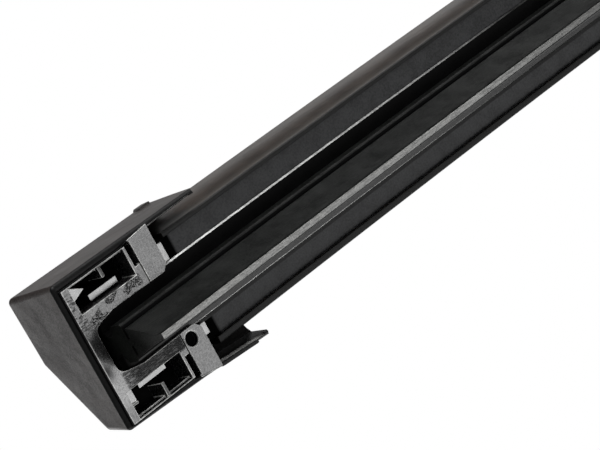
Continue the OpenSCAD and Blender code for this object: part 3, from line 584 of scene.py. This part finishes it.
for node, (material, width) in KEPT.items():
    ob = NODES[node]
    ob.data.materials.clear()
    ob.data.materials.append(MATERIALS[material])
    if node.startswith("cap_"):
        paint_cap(node, ob.data)
    weld = ob.modifiers.new("weld", "WELD")
    weld.merge_threshold = WELD
    # merged faces give cleaner edges, but round the shroud's opening they break up into crossed triangles
    if node != "connector_shroud":
        flat = ob.modifiers.new("flat", "DECIMATE")
        flat.decimate_type = "DISSOLVE"
        flat.angle_limit = FLAT_ANGLE
    bevel = ob.modifiers.new("edges", "BEVEL")
    bevel.width = width * MM
    bevel.segments = 2
    bevel.limit_method = "ANGLE"
    bevel.angle_limit = BEVEL_ANGLE
    bevel.harden_normals = False
    bevel.use_clamp_overlap = not node.startswith("cap_retainer")
    # the retainer's broken edges get the painted highlight
    if node.startswith("cap_retainer"):
        bevel.material = EDGE
    ob.data.shade_smooth()
    smooth = ob.modifiers.new("smooth", "WEIGHTED_NORMAL")
    smooth.keep_sharp = True

# Camera, from the fit to the photograph, in the near cap's frame

CAM_AT = (-145.24, -59.86, -228.45)
CAM_RIGHT = (0.6343465530760343, 0.46223039185117254, -0.6196349856566086)
CAM_DOWN = (-0.48545314356497393, 0.8619798828814107, 0.14603399231218153)
CAM_AHEAD = (0.6016142418555588, 0.20816759199467375, 0.771185164302128)
FOCAL_PX, PHOTO_W, SENSOR_W = 2577.12, 600, 36.0

cam_data = bpy.data.cameras.new("camera")
cam = bpy.data.objects.new("camera", cam_data)
bpy.context.scene.collection.objects.link(cam)
right, up, back = at_cap(CAM_RIGHT, True), -at_cap(CAM_DOWN, True), -at_cap(CAM_AHEAD, True)
pose = Matrix((right, up, back)).transposed().to_4x4()
pose.translation = at_cap(CAM_AT)
cam.matrix_world = pose
cam_data.sensor_width = SENSOR_W
cam_data.lens = SENSOR_W * FOCAL_PX / PHOTO_W
cam_data.clip_start, cam_data.clip_end = 0.01, 50.0
bpy.context.scene.camera = cam

# Stage: white all round, a pale floor well below the blade, soft lamps

# Patches of the surroundings, seen in reflections only: direction in the near cap's frame, inner and outer
# radius in degrees, and level
PATCHES = (((0.60, 0.21, 0.77), 6, 34, 0.95), ((0.6, -0.79, 0.12), 5, 26, 3.2),
           ((0.6, 0.77, 0.2), 5, 24, 1.6), ((-0.6, 0.21, 0.77), 20, 60, 0.28),
           ((-0.77, 0.21, -0.6), 6, 24, 1.2))
BETWEEN_PATCHES = 0.04
SOFT_LIGHT, SOFT_LEVEL = (0.97, 0.98, 1.0, 1), 0.35
WHITE = (1, 1, 1, 1)
FLOOR_Z, FLOOR_R = -0.8, 14.0
FLOOR_DARK, FLOOR_LIGHT = (0.80, 0.80, 0.80), (0.84, 0.84, 0.84)
FLOOR_CLOUDS = (0.002,) * 3
# share of the floor's own light where the camera sees it
FLOOR_GLOW = 0.93

world = bpy.data.worlds.new("studio")
bpy.context.scene.world = world
world.use_nodes = True
tree = world.node_tree
tree.nodes.clear()
path = add(tree, "ShaderNodeLightPath").outputs
seen = maths(tree, "MAXIMUM", path["Is Camera Ray"], path["Is Glossy Ray"])
seen = maths(tree, "MAXIMUM", seen, path["Is Transmission Ray"])
towards = add(tree, "ShaderNodeTexCoord").outputs["Generated"]


def sky_patch(axis, inner, outer, level):
    """A soft bright patch round a direction."""
    near = add(tree, "ShaderNodeVectorMath", {0: towards, 1: Vector(axis).normalized()},
               operation="DOT_PRODUCT").outputs["Value"]
    return add(tree, "ShaderNodeMapRange", {
        "Value": near, "From Min": math.cos(math.radians(outer)),
        "From Max": math.cos(math.radians(inner)), "To Min": 0.0, "To Max": level},
        interpolation_type="SMOOTHSTEP").outputs[0]


around = BETWEEN_PATCHES
for axis, inner, outer, level in PATCHES:
    around = maths(tree, "ADD", sky_patch(at_cap(axis, True), inner, outer, level), around)
backdrop = maths(tree, "MAXIMUM", around, path["Is Camera Ray"])
soft = add(tree, "ShaderNodeBackground", {"Color": SOFT_LIGHT, "Strength": SOFT_LEVEL})
white = add(tree, "ShaderNodeBackground", {"Color": WHITE, "Strength": backdrop})
mix = add(tree, "ShaderNodeMixShader", {0: seen, 1: soft.outputs[0], 2: white.outputs[0]})
add(tree, "ShaderNodeOutputWorld", {0: mix.outputs[0]})

bm = bmesh.new()
bmesh.ops.create_circle(bm, cap_ends=True, segments=96, radius=FLOOR_R)
me = bpy.data.meshes.new("floor")
bm.to_mesh(me)
bm.free()
floor = bpy.data.objects.new("floor", me)
floor.location.z = FLOOR_Z
bpy.context.scene.collection.objects.link(floor)
floor_material, tree = new_material("floor")
camera_ray = add(tree, "ShaderNodeLightPath").outputs["Is Camera Ray"]
clouds = noise(tree, FLOOR_CLOUDS)
pale = add(tree, "ShaderNodeBsdfDiffuse", {"Color": tint(tree, clouds, FLOOR_DARK, FLOOR_LIGHT)})
glow = add(tree, "ShaderNodeEmission", {"Color": WHITE, "Strength": 1.0})
mix = add(tree, "ShaderNodeMixShader", {0: product(tree, camera_ray, FLOOR_GLOW), 1: pale.outputs[0],
                                        2: glow.outputs[0]})
add(tree, "ShaderNodeOutputMaterial", {0: mix.outputs[0]})
me.materials.append(floor_material)

# Lamps: place and aim in metres, width and height, power in watts
NEAR_CAP = (-0.15, 0, -0.02)
LAMPS = (("key", (-0.5, -1.3, -0.25), NEAR_CAP, (0.9, 0.9), 22),
         ("top", (-0.7, 0.6, 1.5), (0, 0, 0), (1.2, 1.0), 9),
         ("fill", (-0.6, 1.4, -0.1), NEAR_CAP, (1.0, 1.0), 12),
         ("low", (0.05, 0.12, -0.46), (-0.28, 0, -0.04), (0.16, 0.3), 0.7))

for name, at, aim, size, power in LAMPS:
    data = bpy.data.lights.new(name, "AREA")
    data.shape = "RECTANGLE"
    data.size, data.size_y = size
    data.energy = power
    ob = bpy.data.objects.new(name, data)
    bpy.context.scene.collection.objects.link(ob)
    ob.location = at
    ob.rotation_mode = "QUATERNION"
    ob.rotation_quaternion = (Vector(aim) - Vector(at)).to_track_quat("-Z", "Y")
    ob.visible_camera = False

bpy.context.scene.view_settings.view_transform = "Standard"
